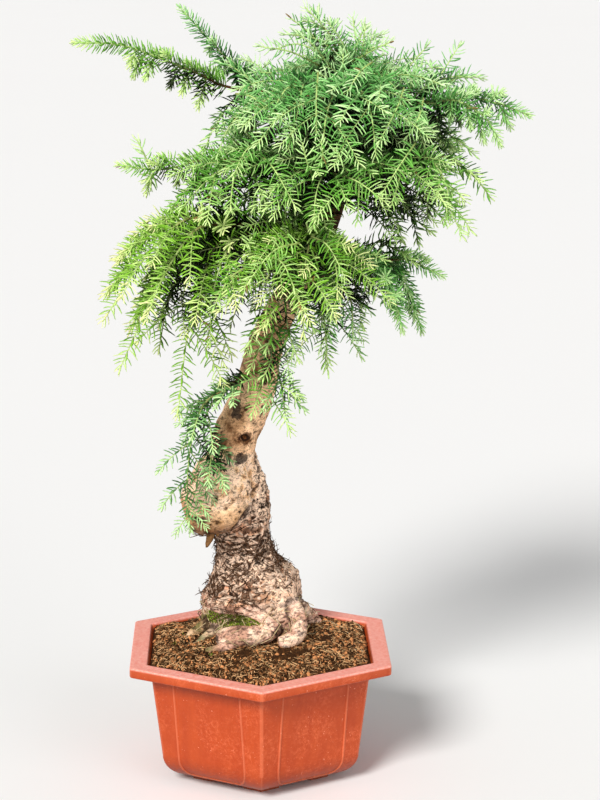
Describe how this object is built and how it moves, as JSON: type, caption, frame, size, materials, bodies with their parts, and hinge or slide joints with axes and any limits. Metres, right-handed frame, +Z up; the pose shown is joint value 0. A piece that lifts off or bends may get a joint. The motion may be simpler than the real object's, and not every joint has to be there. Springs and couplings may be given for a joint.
{
  "type": "hoop pine bonsai",
  "caption": "Leaning informal upright bonsai tree with a burled trunk, surface roots and drooping needle sprays, in a hexagonal moulded training pot with stepped feet.",
  "frame": {"origin": "on the ground under the middle of the plant's box", "axes": "+Z up, +X to the right as seen from the front, +Y to the back; a corner of the hexagonal pot points to -Y"},
  "size_m": [0.5845, 0.4066, 1.0194],
  "materials": {
    "plastic": "satin terracotta",
    "mulch": "coarse and matte",
    "bark": "rough bark",
    "green": "leaf",
    "pale_green": "young leaf",
    "blue_green": "bloomed leaf"
  },
  "bodies": {
    "root": {"pot": "plastic", "soil": "mulch", "trunk": "bark", "spray_top_1": "blue_green", "spray_top_2": "blue_green", "spray_top_3": "blue_green", "spray_top_4": "blue_green", "spray_long_left": "blue_green", "spray_high_left": "blue_green", "spray_shoulder_left": "green", "spray_shoulder_front": "green", "spray_left_1": "green", "spray_left_2": "green", "spray_left_3": "green", "spray_low_left_1": "pale_green", "spray_low_left_2": "pale_green", "spray_low_left_3": "pale_green", "spray_low_left_4": "pale_green", "spray_low_left_5": "pale_green", "spray_low_left_6": "pale_green", "spray_low_front_1": "pale_green", "spray_low_front_2": "pale_green", "spray_low_front_3": "pale_green", "spray_low_front_4": "pale_green", "spray_front_1": "green", "spray_front_2": "green", "spray_front_3": "green", "spray_high_front_1": "blue_green", "spray_high_front_2": "blue_green", "spray_high_front_3": "blue_green", "spray_high_front_4": "blue_green", "spray_high_right_1": "blue_green", "spray_high_right_2": "blue_green", "spray_high_right_3": "blue_green", "spray_high_right_4": "blue_green", "spray_right_1": "green", "spray_right_2": "green", "spray_right_3": "green", "spray_low_right_1": "green", "spray_low_right_2": "green", "spray_low_right_3": "green", "spray_low_right_4": "green", "spray_low_right_5": "green", "spray_high_back_1": "blue_green", "spray_high_back_2": "blue_green", "spray_high_back_3": "blue_green", "spray_right_back_1": "green", "spray_right_back_2": "green", "spray_left_back_1": "green", "spray_left_back_2": "green", "spray_low_back_1": "green", "spray_low_back_2": "green", "spray_low_back_3": "green", "spray_low_left_back_1": "pale_green", "spray_low_left_back_2": "pale_green", "spray_small_low_1": "pale_green", "spray_small_low_2": "pale_green", "spray_small_right_1": "pale_green"}
  },
  "joints": []
}
